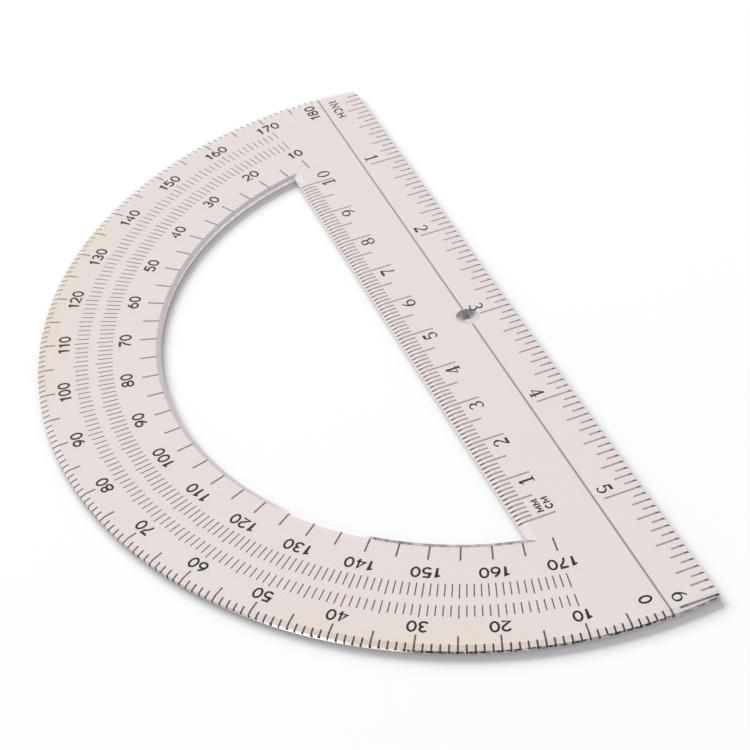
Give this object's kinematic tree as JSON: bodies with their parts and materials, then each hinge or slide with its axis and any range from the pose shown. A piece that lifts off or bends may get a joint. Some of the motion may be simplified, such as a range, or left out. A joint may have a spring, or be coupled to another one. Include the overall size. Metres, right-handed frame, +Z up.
{
  "type": "protractor",
  "caption": "Half-round clear plastic protractor with a D-shaped window, bevelled edges, printed degree scales and two straight rules.",
  "frame": {"origin": "centre of the plate's footprint, on the underside that lies on the paper", "axes": "+X along the base line towards the outer scale's 180 mark, +Y from the ruling edge towards the top of the arc, +Z up out of the printed face"},
  "size_m": [0.1542, 0.0854, 0.001],
  "materials": {
    "clear_plastic": "clear moulded plastic, polished, faintly pink grey",
    "ink": "thin dark brown-black printed ink, satin"
  },
  "bodies": {
    "root": {"clear_plate": "clear_plastic", "base_line_left": "ink", "base_line_right": "ink", "outer_degree_marks": "ink", "outer_ladder_marks": "ink", "inner_ladder_marks": "ink", "inner_degree_marks": "ink", "inner_mark_10": "ink", "inner_mark_170": "ink", "inch_marks": "ink", "centimetre_marks": "ink"}
  },
  "joints": []
}
